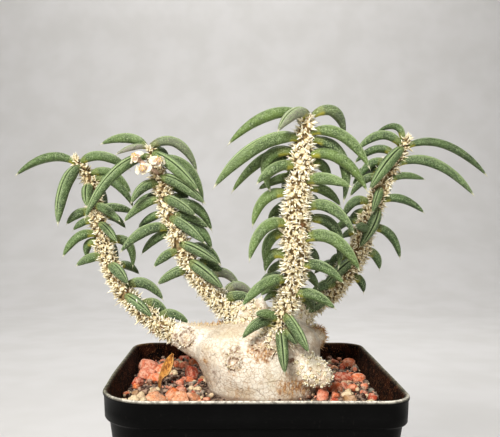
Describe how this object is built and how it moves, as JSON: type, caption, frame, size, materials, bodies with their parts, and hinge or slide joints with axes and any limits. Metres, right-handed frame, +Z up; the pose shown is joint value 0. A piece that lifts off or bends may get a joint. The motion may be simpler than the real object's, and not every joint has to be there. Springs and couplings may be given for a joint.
{
  "type": "potted euphorbia cylindrifolia",
  "caption": "Swollen-trunked succulent with bristly stems and grooved arching leaves, in a square nursery pot with lava grit.",
  "frame": {"origin": "the middle of the pot's underside", "axes": "+Z up, -Y toward the front, where one stem leans out, +X to the right seen from the front"},
  "size_m": [0.165, 0.0923, 0.1637],
  "materials": {
    "pot_plastic": "thin black nursery plastic, dusty along the rim, with brown mineral crust inside",
    "potting_mix": "dark crumbly mineral potting mix",
    "lava_grit": "rough salmon-red lava stones with pale and dark crumbs",
    "dead_leaf": "dry curled yellow-brown leaf",
    "bark": "pale cream bark with fine wrinkles, scars and rusty patches",
    "leaf": "firm grey-green succulent leaves with a pale bloom, on stems under tan bristles",
    "flower": "small cream bracts with pinkish middles"
  },
  "bodies": {
    "root": {"pot": "pot_plastic", "soil": "potting_mix", "top_dressing": "lava_grit", "dry_leaf": "dead_leaf", "caudex": "bark", "branch_left": "leaf", "branch_mid_left": "leaf", "branch_front": "leaf", "branch_right": "leaf", "bloom": "flower"}
  },
  "joints": []
}
